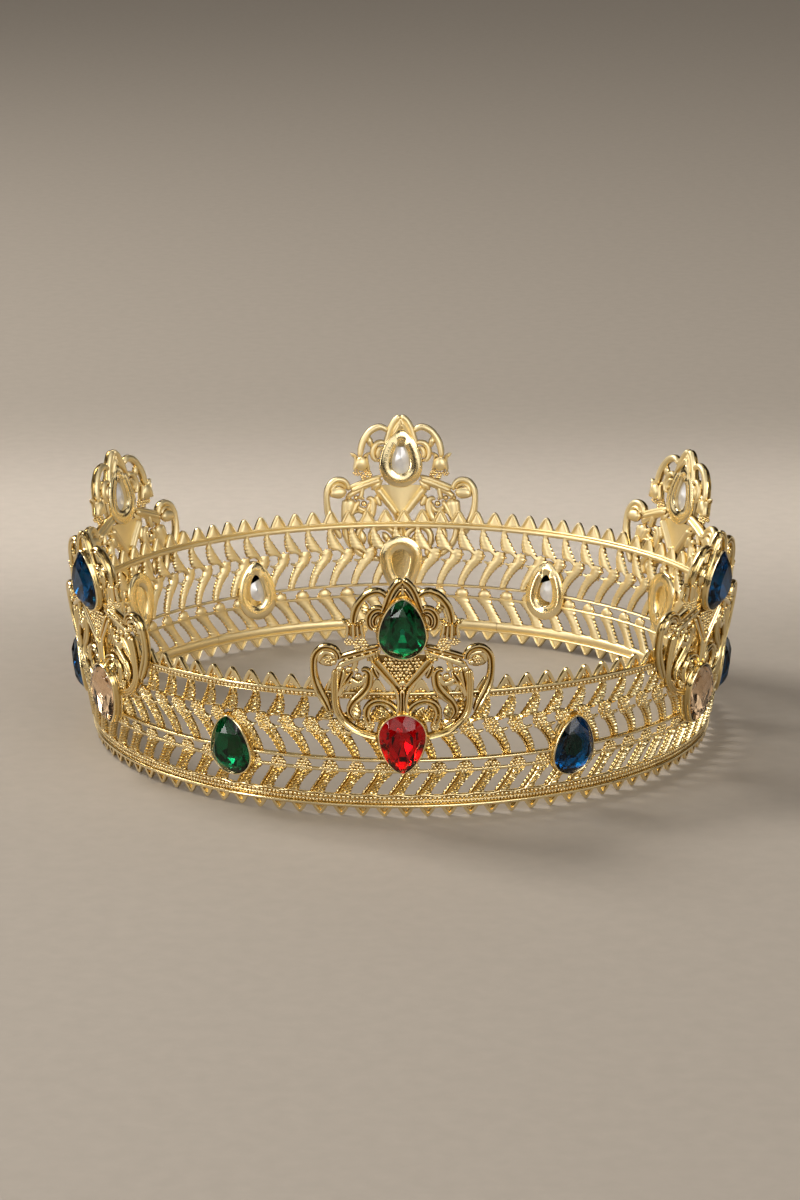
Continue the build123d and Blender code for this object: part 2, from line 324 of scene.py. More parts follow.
def leaf(casting, root, tip, width, ribs, rise, lift):
    """A pointed, ribbed leaf from root to tip."""
    root, tip = np.array(root, float), np.array(tip, float)
    axis = tip - root
    size = np.linalg.norm(axis)
    axis /= size
    side = np.array([axis[1], -axis[0]])
    rows = max(10, 5 * ribs)
    t = np.linspace(0.0, 1.0, rows)
    swell = np.sin(pi * t ** (np.log(0.5) / np.log(LEAF_FULL))) ** 0.75
    half = width / 2 * np.clip(swell, 0.06, None)
    v, front, back, edge_relief = fluted_section(1, 9, 3)
    middle = root + axis * (t * size)[:, None]
    rib = np.abs(np.sin(pi * (ribs * t[:, None] + LEAF_LEAN * v[None]))) ** 0.8
    height = 1 - LEAF_RIB_DEPTH * (1 - rib)
    columns = len(v)
    flat = np.empty((rows, columns, 3))
    flat[..., :2] = middle[:, None] + side * (v[None] * half[:, None])[..., None]
    swell = np.clip(swell, 0.15, None)[:, None]
    flat[..., 2] = lift + front[None] * rise * swell * height - back[None] * LEAF_DEPTH * swell
    # painted shade in the grooves between the ribs
    relief = np.where(back[None] > 0, INSIDE, edge_relief[None] * rib)
    faces = grid_faces(rows, columns) + ring_caps(rows, columns)
    casting.add(flat.reshape(-1, 3), faces, relief.ravel())


BLADE_STEP = 0.2
BLADE_RISE = 1.0
BLADE_DEPTH = 0.8
BLADE_LIFT = -0.4
RIB_NOTCH = 0.28              # how far the edges dip between two ribs
# Where the points of its front and back lie, from its left edge (0) to its right (1)
BLADE_FRONT = (0, 0.05, 0.14, 0.24, 0.34, 0.43, 0.5, 0.57, 0.66, 0.76, 0.86, 0.95, 1.0)
BLADE_BACK = (0.85, 0.5, 0.15)


def blade(casting, edges, ribs, strand, rib_depth):
    """A cast leaf between two edges, given from end to end as (left across, left height, right
    across, right height). A smooth strand runs along it, and ribs slant away on both sides."""
    lines = smooth_line(edges, BLADE_STEP)
    rows = len(lines)
    t = np.linspace(0, 1, rows)[:, None]
    u = np.array(BLADE_FRONT)
    u = np.clip(u + (strand - 0.5) * np.sin(pi * u) ** 2, 0, 1)
    beside = np.abs(u - strand)[None]
    rib = np.abs(np.sin(pi * (ribs * t + beside * 2))) ** 0.7
    dome = np.clip(1 - (2 * u - 1) ** 4, 0, 1)[None] ** 0.5
    smooth = np.exp(-((beside / 0.06) ** 2))
    groove = 1 - 0.75 * np.exp(-(((beside - 0.12) / 0.06) ** 2))
    cut = rib_depth * np.where(u > strand, 1.0, 0.35)[None]
    front = dome * ((1 - cut * (1 - rib)) * groove * (1 - smooth) + 1.1 * smooth)
    front *= np.clip(np.minimum(t, 1 - t) * rows / 3, 0.15, 1)
    notch = RIB_NOTCH * (1 - rib[:, [0, -1]])
    left, right = lines[:, :2], lines[:, 2:]
    across = (right - left) / (np.linalg.norm(right - left, axis=1)[:, None] + 1e-9)
    left = left + across * notch[:, :1]
    right = right - across * notch[:, 1:]
    columns = len(BLADE_FRONT) + len(BLADE_BACK)
    flat = np.empty((rows, columns, 3))
    where = np.concatenate([u, BLADE_BACK])[None, :, None]
    flat[..., :2] = left[:, None] * (1 - where) + right[:, None] * where
    flat[:, :len(u), 2] = BLADE_LIFT + BLADE_RISE * front
    flat[:, len(u):, 2] = BLADE_LIFT - BLADE_DEPTH * np.array([0.75, 1.0, 0.75])
    relief = np.full((rows, columns), INSIDE)
    # painted shade: darker in the ribs' grooves, in the groove beside the strand and towards the
    # edges
    painted_shading = np.clip(1.35 * (1 - cut * (1 - rib)) * groove + smooth, 0, 1)
    relief[:, :len(u)] = painted_shading * (0.3 + 0.7 * dome)
    faces = grid_faces(rows, columns) + ring_caps(rows, columns)
    casting.add(flat.reshape(-1, 3), faces, relief.ravel())


# ------------------------------------------------------------------ pear outlines
def pear(count, width=PEAR_WIDTH, length=PEAR_LENGTH, margin=0.0):
    """Points round a pear outline, centred on the middle of its length, point up.
    margin moves it outwards. The first point is the pear's point."""
    half = width / 2
    point = length - half
    drop = (point - half) / 2
    turn = np.linspace(0, 2 * pi, count, endpoint=False)
    side = np.sin(turn)
    up = np.cos(turn)
    across = half * np.sign(side) * np.abs(side) ** np.where(up > 0, 1.25, 1.0)
    height = np.where(up > 0, point * np.abs(up) ** 1.12, half * up) - drop
    outline = np.stack([across, height], -1)
    if margin:
        along = np.roll(outline, -1, 0) - np.roll(outline, 1, 0)
        along /= np.linalg.norm(along, axis=1)[:, None]
        outline = outline + margin * np.stack([-along[:, 1], along[:, 0]], -1)
    return outline


def clear_of_pear(across, height, point_up, margin):
    """Returns a function that moves flat points out of the pear of wall behind a stone."""
    outline = pear(CLEARANCE_POINTS, margin=margin)
    turn = np.arctan2(outline[:, 0], outline[:, 1])
    order = np.argsort(turn)
    reach = np.linalg.norm(outline, axis=1)
    turn, reach = turn[order], reach[order]
    sign = 1 if point_up else -1

    def push(flat):
        local = (flat[:, :2] - (across, height)) * sign
        distance = np.linalg.norm(local, axis=1) + 1e-9
        limit = np.interp(np.arctan2(local[:, 0], local[:, 1]), turn, reach, period=2 * pi)
        inside = distance < limit
        moved = flat.copy()
        scale = (limit / distance)[inside, None]
        moved[inside, :2] = (across, height) + local[inside] * sign * scale
        return moved

    return push


PAD_SOFTNESS = 0.25           # how far a pad's edges are cut back


def pear_pad(casting, across, height, point_up, back):
    """The solid pear of wall behind a stone, with its back window."""
    sign = 1 if point_up else -1
    outer = pear(PAD_POINTS, margin=SETTING_RIM)
    inner = pear(PAD_POINTS, *BACK_WINDOW)
    soft = PAD_SOFTNESS
    loops = (
        (inner, soft, back),
        (inner, 0, back + soft),
        (inner, 0, -soft),
        (inner, soft, 0),
        (outer, -soft, 0),
        (outer, 0, -soft),
        (outer, 0, back + soft),
        (outer, -soft, back),
    )
    flat = np.empty((PAD_POINTS, len(loops), 3))
    for index, (outline, grow, proud) in enumerate(loops):
        length = np.linalg.norm(outline, axis=1)[:, None]
        flat[:, index, :2] = outline * (1 + grow / length) * sign + (across, height)
        flat[:, index, 2] = proud
    faces = np.array(grid_faces(PAD_POINTS + 1, len(loops))) % (PAD_POINTS * len(loops))
    casting.add(flat.reshape(-1, 3), faces.tolist())


# ------------------------------------------------------------------ band
def along_band(count, phase=0.5):
    """Where a row's features lie, across the flat band, from the seam to the next seam."""
    pitch = SEGMENT_DEGREES / count
    return [radians(SEAM + (index + phase) * pitch) * FLAT_RADIUS for index in range(count)]


BAND_STONE_ACROSS = radians(STONE_AZIMUTH) * FLAT_RADIUS
BAND_START = radians(SEAM) * FLAT_RADIUS
BAND_END = BAND_START + SECTOR_ANGLE * FLAT_RADIUS
SEAM_GAP = 0.06


def rail(casting, height, width, rise, depth, lift=0.0, wave=None, painted_lightness=1.0):
    """A bar all along the segment, at one height or along a wave round it."""
    stops = np.linspace(BAND_START + SEAM_GAP, BAND_END - SEAM_GAP, 90)
    line = [(s, height + (wave(s) if wave else 0.0), width) for s in stops]
    bar(casting, line, rise, depth, lift, round_ends=False, step=5, painted_lightness=painted_lightness)


def bead_row(casting, height, radius, count, proud):
    """A line of beads all along the segment, a little uneven in size and height."""
    for across in along_band(count):
        size = radius * (1 + 0.12 * rng.uniform(-1, 1))
        casting.ball(across, height + 0.05 * rng.uniform(-1, 1), proud, size)


def granules(casting, middle, reach, spacing, proud, radius, inside=None):
    """Small beads packed in an ellipse, uneven as they are in a casting."""
    rows = int(reach[1] / spacing) + 1
    columns = int(reach[0] / spacing) + 1
    for row in range(-rows, rows + 1):
        for column in range(-columns, columns + 1):
            across = (column + 0.5 * (row % 2)) * spacing + 0.12 * rng.uniform(-1, 1)
            height = row * spacing * 0.87 + 0.12 * rng.uniform(-1, 1)
            if (across / reach[0]) ** 2 + (height / reach[1]) ** 2 > 1:
                continue
            place = (middle[0] + across, middle[1] + height)
            if inside and not inside(*place):
                continue
            size = radius * rng.uniform(0.75, 1.15)
            casting.ball(*place, proud + 0.1 * rng.uniform(-1, 1), size, 0.9)


def knot(casting, middle, reach):
    """A rounded boss covered in granules."""
    x, z = middle
    wide, tall = reach
    boss = [(x, z - tall, 1.6 * wide), (x, z, 2 * wide), (x, z + tall, 1.6 * wide)]
    # painted shade: the boss under the granules is coloured dark
    bar(casting, boss, rise=0.1, depth=0.8, lift=-0.3, painted_lightness=GRANULE_SHADE)
    granules(casting, middle, (wide * 0.95, tall * 0.95), spacing=0.8, proud=-0.1, radius=0.5)


def tooth(casting, across, base, tip, width):
    """A pointed tooth: a raised, square-edged rim round a sunk, granulated field."""
    up = 1 if tip > base else -1
    half = width / 2 - 0.4
    height = abs(tip - base)
    outline = [
        (-half, -0.05), (-0.66 * half, 0.4), (-0.24 * half, 0.86), (0, 1.0),
        (0.24 * half, 0.86), (0.66 * half, 0.4), (half, -0.05),
    ]
    line = [(across + x, base + up * y * height, 0.85) for x, y in outline]
    bar(casting, line, rise=0.55, depth=0.9, lift=-0.25, round_ends=False, step=0.35, boxy=True)
    field = [
        (across, base - up * 0.05 * height, 2 * half),
        (across, base + up * 0.45 * height, half),
        (across, base + up * 0.9 * height, 0.3),
    ]
    bar(casting, field, rise=0.1, depth=0.4, lift=-0.5, round_ends=False)
    for x, y, size in ((-0.45, 0.1, 0.4), (0, 0.14, 0.55), (0.45, 0.1, 0.4)):
        casting.ball(across + x * half * 1.5, base + up * y * height, -0.5, size, 0.6)


# The band's leaves, as (left across, left height, right across, right height) from the root,
# measured from each feature of their row.
LOW_LEAF = (
    (-2.9, 11.9, 2.4, 11.9), (-3.1, 10.8, 1.2, 10.8), (-3.7, 9.75, 0.1, 9.75),
    (-4.7, 8.25, -1.05, 8.25), (-5.6, 7.0, -1.8, 7.0), (-6.5, 5.6, -2.3, 5.6),
)
MID_LEAF = (
    (-0.5, 25.3, 2.0, 25.3), (-0.5, 24.2, 3.1, 24.6), (-0.4, 23.0, 3.3, 23.1),
    (0.2, 22.0, 4.5, 22.0), (1.2, 20.9, 5.0, 20.9), (2.6, 19.4, 5.8, 19.3), (3.8, 17.6, 6.6, 17.3),
    (4.8, 15.5, 7.0, 15.4),
)
TOP_LEAF = (
    (-0.75, 31.2, 0.8, 31.2), (-1.0, 30.1, 1.0, 29.7), (-1.8, 28.7, 1.15, 28.3),
    (-2.8, 27.1, 1.0, 26.9), (-3.6, 25.9, 0.5, 25.6), (-4.3, 24.9, -1.6, 25.1),
    (-4.7, 24.2, -3.0, 24.3),
)

# The two strips over and under each rounded hole, from the same root.
HOLE_STRIPS = (
    ((-3.0, 25.0), (-1.8, 25.35), (-0.3, 25.2)),
    ((-3.0, 22.7), (-1.8, 21.9), (-0.4, 22.3)),
)


def shifted(edges, across):
    """A leaf's edges, moved across, with a little unevenness."""
    moved = np.array(edges)
    moved[:, ::2] += across + 0.08 * rng.uniform(-1, 1)
    return moved


def make_band_segment():
    clear = [
        clear_of_pear(0, LOWER_STONE, False, PAD_MARGIN),
        clear_of_pear(BAND_STONE_ACROSS, BAND_STONE, True, PAD_MARGIN),
    ]
    casting = Casting(on_band)
    # feet, bottom rail and milgrain
    for across in along_band(LOW_TEETH):
        tooth(casting, across, LOW_RAIL - 0.25, FOOT_TIP + 0.25, LOW_TOOTH_WIDTH)
    rail(casting, LOW_RAIL, width=0.95, rise=0.6, depth=1.2)
    # painted shade on the flat strip the lower beads stand on
    rail(casting, LOW_GROUND, width=2.6, rise=0.0, depth=1.0, lift=-0.25, painted_lightness=GROUND)
    bead_row(casting, FINE_BEADS, radius=0.42, count=100, proud=-0.12)
    rail(casting, BEAD_LINE, width=0.3, rise=0.25, depth=0.4)
    bead_row(casting, COARSE_BEADS, radius=0.56, count=76, proud=-0.15)
    pitch = SEGMENT_DEGREES / LOW_LEAVES

    def scallop(s):
        turn = (np.degrees((s - LOW_ROW_START) / FLAT_RADIUS) - SEAM) / pitch
        return -0.2 * cos(2 * pi * turn)

    rail(casting, SCALLOPS, width=0.5, rise=0.35, depth=0.9, wave=scallop)
    # lower leaves, the small windows above them, and the rails they hang from
    for across in along_band(LOW_LEAVES, phase=0.0):
        start = across + LOW_ROW_START
        blade(casting, shifted(LOW_LEAF, start + 0.8), 7, strand=0.3, rib_depth=0.95)
        knot(casting, (start + 0.3, SMALL_KNOTS), (1.9, 1.55))
        casting.ball(start + 2.1, CROSSBAR + 0.1, -0.1, 0.5)
        casting.ball(start - 2.0, CROSSBAR + 0.1, -0.1, 0.5)
    rail(casting, CROSSBAR, width=0.8, rise=0.3, depth=0.9, lift=-0.1)
    rail(casting, MID_RAIL, width=0.8, rise=0.6, depth=1.1)
    # middle leaves, leaning the other way, with their knots round the holes
    for across in along_band(TOP_LEAVES, phase=0.0):
        start = across + TOP_ROW_START
        blade(casting, shifted(MID_LEAF, start), 11, strand=0.35, rib_depth=0.9)
        blade(casting, shifted(TOP_LEAF, start), 7, strand=0.2, rib_depth=0.95)
        granules(casting, (start + 1.2, ROUND_HOLE), (1.7, 1.5), spacing=0.8, proud=0.1,
                 radius=0.48)
        granules(casting, (start + 2.0, 22.0), (2.2, 0.8), spacing=0.8, proud=0.1, radius=0.42)
        for strip in HOLE_STRIPS:
            line = [(start + x, z, 0.7) for x, z in strip]
            bar(casting, line, rise=0.45, depth=0.8, lift=-0.15)
    # top milgrain, top rail and teeth
    # painted shade on the flat strip the upper beads stand on
    rail(casting, TOP_GROUND, width=1.5, rise=0.0, depth=1.0, lift=-0.25, painted_lightness=GROUND)
    rail(casting, TOP_EDGE, width=0.3, rise=0.2, depth=0.5, lift=-0.05)
    bead_row(casting, TOP_BEADS, radius=0.54, count=80, proud=-0.15)
    rail(casting, TOP_RAIL, width=0.9, rise=0.6, depth=1.2)
    for across in along_band(TOP_TEETH):
        tooth(casting, across, TOP_RAIL + 0.35, TOOTH_TIP, TOP_TOOTH_WIDTH)
    body = casting.count
    pear_pad(casting, 0, LOWER_STONE, False, back=-1.5)
    pear_pad(casting, BAND_STONE_ACROSS, BAND_STONE, True, back=-1.5)
    return casting.make("band_segment", clear, body)


# ------------------------------------------------------------------ crest
# Each arm of the crest: its points from the middle line outwards (across, height, width), its
# number of ridges and how far it stands forward. Every arm that isn't on the middle line has a
# mirror image. A bed or a web is ground behind other arms, painted darker as shade.
ARMS = {
    "pointed arch": ([
        (0, 62.0, 1.7), (1.4, 60.95, 1.8), (2.4, 59.5, 1.8), (3.1, 57.9, 1.8), (3.6, 56.4, 1.6),
        (4.1, 55.0, 1.4), (4.6, 53.9, 1.2),
    ], 2, 0.2),
    "inner arch": ([
        (0, 59.9, 1.3), (0.9, 58.7, 1.3), (1.7, 57.3, 1.3), (2.5, 56.0, 1.2), (3.3, 54.9, 1.0),
    ], 2, -0.1),
    "spear": ([(0, 61.0, 0.4), (0, 59.6, 0.9), (0, 58.0, 1.0)], 1, 0.0),
    "upper curl": ([
        (3.6, 57.6, 1.3), (4.5, 58.5, 1.7), (5.8, 58.95, 1.9), (7.2, 58.6, 2.0), (8.5, 57.8, 2.0),
        (9.6, 56.5, 2.0), (10.5, 55.0, 2.0), (11.0, 53.4, 1.9), (11.25, 52.0, 1.7),
        (11.3, 50.6, 1.3),
    ], 2, 0.1),
    "inner curl": ([
        (4.4, 54.2, 1.0), (5.4, 54.7, 1.5), (6.7, 54.3, 1.7), (7.6, 53.1, 1.7), (7.9, 51.6, 1.6),
        (7.5, 50.2, 1.4), (6.5, 49.4, 1.0),
    ], 2, 0.1),
    "inner shell": ([
        (4.8, 53.3, 1.0), (5.9, 52.9, 1.4), (6.5, 51.6, 1.5), (6.2, 50.2, 1.0),
    ], 2, -0.1),
    "flower bed": ([
        (11.2, 50.9, 3.0), (11.1, 49.6, 3.7), (11.0, 48.0, 4.3), (10.9, 46.9, 4.3),
    ], 1, -0.55),
    "flower petal 1": ([
        (9.5, 51.1, 0.6), (9.4, 49.6, 0.8), (9.1, 48.0, 0.9), (8.9, 46.9, 0.8),
    ], 1, 0.0),
    "flower petal 2": ([
        (10.4, 50.6, 0.6), (10.3, 49.4, 0.7), (10.2, 47.8, 0.8), (10.1, 46.9, 0.7),
    ], 1, 0.1),
    "flower petal 3": ([
        (11.3, 51.2, 0.9), (11.3, 49.4, 1.0), (11.2, 47.6, 0.9), (11.1, 46.7, 0.7),
    ], 1, 0.3),
    "flower petal 4": ([
        (12.9, 51.1, 0.6), (12.6, 49.6, 0.9), (12.8, 48.0, 1.0), (13.0, 46.9, 0.8),
    ], 1, 0.0),
    "bar": ([
        (5.3, 45.2, 1.1), (7.5, 44.6, 1.4), (10.0, 43.8, 1.4), (12.3, 43.0, 1.4),
        (14.5, 42.2, 1.2),
    ], 2, 0.2),
    "bar edge": ([
        (5.9, 43.8, 1.0), (8.2, 42.9, 1.0), (10.2, 42.1, 1.3), (12.0, 41.3, 1.5),
        (13.7, 40.5, 1.7), (14.8, 39.5, 1.5),
    ], 1, 0.3),
    "bar web": ([(5.6, 44.3, 1.6), (9.5, 43.1, 1.4), (14.0, 41.4, 1.4)], 1, -0.5),
    "big curl and leg": ([
        (14.6, 41.4, 1.0), (14.8, 42.9, 1.4), (15.7, 44.1, 1.6), (17.2, 44.6, 1.7),
        (18.6, 44.3, 1.8), (19.7, 43.3, 1.8), (20.4, 41.8, 1.8), (20.6, 39.8, 1.7),
        (20.5, 37.6, 1.8), (20.1, 35.4, 2.1), (19.3, 33.2, 2.3), (18.3, 31.2, 2.2),
        (17.4, 29.4, 1.8), (16.8, 28.0, 1.1),
    ], 2, 0.2),
    "big curl disc": ([
        (15.2, 41.3, 1.6), (16.6, 41.0, 3.2), (18.3, 40.9, 3.2), (19.7, 40.2, 2.0),
    ], 1, -0.5),
    "big curl fold": ([
        (15.3, 41.8, 0.7), (16.2, 42.9, 1.1), (17.7, 43.3, 1.2), (18.9, 42.4, 1.5),
        (19.4, 40.6, 0.8),
    ], 1, 0.15),
    "stalk": ([
        (15.4, 39.0, 1.8), (15.6, 36.0, 2.0), (15.6, 33.0, 2.0), (15.5, 30.5, 1.9),
        (15.1, 28.4, 1.9), (14.2, 26.6, 1.9), (12.9, 25.1, 1.9), (11.3, 23.8, 1.9),
        (9.3, 22.9, 1.8), (7.2, 22.3, 1.7), (5.6, 21.9, 1.4),
    ], 3, 0.2),
    "stalk leaf": ([
        (13.8, 39.2, 3.0), (14.2, 37.4, 3.4), (14.6, 35.2, 2.8), (15.0, 33.0, 2.0),
        (15.3, 31.0, 1.0),
    ], 4, 0.0),
    "stalk strand": ([
        (11.6, 38.6, 1.3), (12.5, 37.0, 1.6), (13.5, 35.2, 1.5), (14.3, 33.4, 1.2),
        (14.9, 31.4, 0.7),
    ], 2, 0.2),
    "hook stem": ([(10.7, 42.6, 1.3), (10.9, 40.6, 1.4), (11.5, 38.8, 1.3)], 1, 0.1),
    "hook": ([
        (8.7, 38.0, 1.0), (8.9, 36.6, 1.4), (9.8, 35.7, 1.6), (11.0, 36.0, 1.5), (12.1, 37.0, 1.2),
    ], 1, 0.35),
    "s-scroll": ([
        (9.6, 38.8, 0.9), (8.6, 39.1, 1.4), (7.8, 38.2, 2.0), (7.8, 36.6, 2.3), (8.1, 35.0, 2.4),
        (8.9, 33.5, 2.6), (10.1, 32.1, 2.5), (11.3, 30.9, 2.1), (12.1, 29.5, 1.7),
        (12.3, 28.2, 1.4), (11.7, 27.0, 1.1), (10.9, 26.2, 0.6),
    ], 2, 0.1),
    "small arch": ([
        (14.7, 32.0, 0.8), (14.1, 33.9, 0.9), (13.0, 35.2, 0.9), (11.6, 35.5, 0.9),
        (10.2, 34.6, 0.8),
    ], 1, 0.15),
    "v outside": ([
        (7.2, 41.5, 0.9), (4.4, 37.9, 1.0), (1.7, 34.4, 1.0), (1.0, 31.6, 0.9), (1.1, 29.0, 0.9),
        (1.7, 27.4, 0.9),
    ], 1, 0.25),
    "v inside": ([(5.9, 42.2, 0.8), (3.2, 38.6, 0.9), (0.4, 34.8, 0.9)], 1, 0.2),
    "v bed": ([(6.6, 41.9, 1.7), (3.8, 38.2, 1.7), (1.0, 34.6, 1.6)], 1, -0.45),
    "v leaf": ([(6.9, 40.1, 1.2), (6.4, 38.3, 1.8), (5.5, 36.9, 1.0)], 2, -0.1),
    "stem": ([(0, 34.0, 1.6), (0, 31.0, 1.2), (0, 28.6, 1.8), (0, 27.4, 2.4)], 2, 0.1),
    "lower curl": ([
        (1.2, 27.2, 1.4), (1.9, 29.2, 1.9), (3.2, 30.5, 2.0), (4.7, 31.1, 2.0), (6.2, 31.0, 2.0),
        (7.5, 30.2, 2.0), (8.2, 28.9, 2.0), (8.3, 27.4, 1.9), (7.8, 26.0, 1.7), (7.1, 24.9, 1.2),
    ], 2, 0.2),
    "lower knot": ([(7.9, 26.2, 1.6), (7.8, 24.6, 2.4), (7.4, 22.8, 2.0)], 1, -0.3),
}
# Round eyes (across, height, radius) and their mirror images.
EYES = (
    (15.9, 40.9, 0.8), (14.5, 39.4, 0.9), (12.4, 39.3, 0.8), (10.2, 37.6, 0.9), (6.3, 49.6, 0.6),
    (10.6, 39.1, 0.6), (7.3, 43.9, 0.45), (9.2, 43.2, 0.5), (11.0, 42.5, 0.5), (12.8, 41.8, 0.5),
)
# Small leaves: root, tip, width and ribs; each has a mirror image.
CREST_LEAVES = (
    ((8.2, 53.0), (9.0, 56.6), 1.9, 4), ((11.7, 50.2), (14.1, 51.9), 1.2, 3),
    ((10.8, 50.2), (8.6, 51.9), 1.2, 3), ((5.0, 44.2), (8.2, 41.4), 2.4, 5),
    ((11.0, 30.6), (10.5, 25.9), 2.5, 4), ((2.9, 26.3), (5.1, 29.6), 2.1, 5),
    ((9.0, 28.6), (8.4, 25.6), 1.3, 3),
)

# Patches of granules: middle, reach, spacing, how proud and radius; each has a mirror image.
CREST_GRANULES = (
    ((9.6, 45.6), (1.7, 1.5), 0.75, 0.1, 0.45),
    ((12.3, 46.2), (1.1, 0.8), 0.7, 0.1, 0.4),
    ((16.7, 41.2), (1.5, 0.9), 0.7, 0.0, 0.4),
    ((7.7, 24.4), (1.1, 1.7), 0.75, -0.1, 0.42),
)

# The granulated triangle between the stones
TRIANGLE_TOP = 42.4
TRIANGLE_TIP = 33.6
TRIANGLE_SLOPE = 0.58


def make_crest():
    clear = [
        clear_of_pear(0, UPPER_STONE, True, PAD_MARGIN),
        clear_of_pear(0, LOWER_STONE, False, PAD_MARGIN),
    ]
    casting = Casting(on_crest)
    for name, (points, ridges, lift) in ARMS.items():
        middle_arm = all(across == 0 for across, _, _ in points)
        for side in (1,) if middle_arm else (1, -1):
            line = [(side * x, z, width) for x, z, width in points]
            # beds and webs get painted shade
            bar(casting, line, rise=0.95, depth=1.2, lift=lift - 0.6, ridges=ridges, step=0.4,
                boxy=ridges > 1, painted_lightness=0.4 if name.endswith(("bed", "web")) else 1.0)
    for side in (1, -1):
        for x, z, radius in EYES:
            casting.ball(side * x, z, 0.15, radius, 0.9)
        for (root_x, root_z), (tip_x, tip_z), width, ribs in CREST_LEAVES:
            root, tip = (side * root_x, root_z), (side * tip_x, tip_z)
            leaf(casting, root, tip, width, ribs, rise=0.8, lift=-0.35)
        for (x, z), reach, spacing, proud, radius in CREST_GRANULES:
            granules(casting, (side * x, z), reach, spacing, proud, radius)
    # the granulated triangle between the stones, and the web under the pointed arch, both painted
    # darker as shade
    field = [(0, 42.8, 12.8), (0, 40.5, 9.8), (0, 36.5, 4.9), (0, 33.0, 1.0)]
    bar(casting, field, rise=0.1, depth=0.8, lift=-0.5, round_ends=False, painted_lightness=GRANULE_SHADE)
    web = [(0, 61.2, 0.8), (0, 58.5, 5.0), (0, 55.0, 8.0), (0, 53.0, 8.6)]
    bar(casting, web, rise=0.1, depth=0.8, lift=-0.6, round_ends=False, painted_lightness=0.3)

    def in_triangle(across, height):
        return height < TRIANGLE_TOP and abs(across) < (height - TRIANGLE_TIP) * TRIANGLE_SLOPE

    granules(casting, (0, 38.6), (5.4, 5.6), spacing=0.95, proud=-0.15, radius=0.5,
             inside=in_triangle)
    casting.ball(across=0, height=36.1, proud=0.3, radius=1.0)
    body = casting.count
    pear_pad(casting, 0, UPPER_STONE, True, back=-CREST_WALL)
    pear_pad(casting, 0, LOWER_STONE, False, back=-CREST_WALL)
    return casting.make("crest", clear, body)


# ------------------------------------------------------------------ settings and stones
def seat_matrix(azimuth, height, proud, point_up):
    """Local X across, local Y to the stone's point, local Z outwards; in metres."""
    angle = radians(azimuth)
    out = Vector((sin(angle), -cos(angle), 0))
    normal = (out * cos(FLARE_ANGLE) - Vector((0, 0, sin(FLARE_ANGLE)))).normalized()
    sign = 1 if point_up else -1
    around = Vector((cos(angle), sin(angle), 0)) * sign
    towards_point = normal.cross(around)
    middle = out * wall_radius(height) * MM + Vector((0, 0, height * MM)) + normal * proud * MM
    matrix = Matrix((around, towards_point, normal)).transposed().to_4x4()
    matrix.translation = middle
    return matrix


def make_setting():
    """A bezel cup: a flared foot, an upright wall and a rolled lip over the stone's girdle.
    Its section is given as (margin outside the stone's outline, height above the seat)."""
    section = (
        (-1.3, -0.1), (-1.3, 0.25), (0.0, 0.4), (0.03, 1.25), (-0.08, 1.41), (0.0, 1.5),
        (0.18, 1.5), (0.3, 1.36), (0.35, 1.0), (0.38, 0.55), (0.5, 0.3), (0.65, 0.12),
        (0.65, -0.35), (0.4, -0.35),
    )
    count = SETTING_POINTS
    flat = np.empty((count, len(section), 3))
    for index, (margin, height) in enumerate(section):
        flat[:, index, :2] = pear(count, margin=margin)
        flat[:, index, 2] = height
    faces = np.array(grid_faces(count + 1, len(section))) % (count * len(section))
    mesh = bpy.data.meshes.new("setting")
    mesh.from_pydata((flat.reshape(-1, 3) * MM).tolist(), [], faces.tolist())
    relief = mesh.attributes.new("relief", "FLOAT", "POINT")
    # painted shade: the setting is darker towards its foot and lightest on the lip
    painted_lightness = [1.0 if height > 1.2 else 0.55 if height > 0.27 else 0.3 for _, height in section]
    relief.data.foreach_set("value", np.tile(painted_lightness, count).astype(np.float32))
    face_outwards(mesh)
    return mesh


# Heights in a stone, above its seat
TABLE_TOP = 3.45
KITE_TOP = 2.6
GIRDLE = (0.95, 1.25)
PAVILION_BREAK = -0.1
CULET = (0, -0.6, -1.3)       # a little below the middle of the pear
# The silvering's outline, as a share of the girdle's, and its height; and how thick it is
SILVER_RINGS = ((0.985, 0.91), (0.52, -0.15), (0.02, -1.34))
SILVER_THICKNESS = 0.12


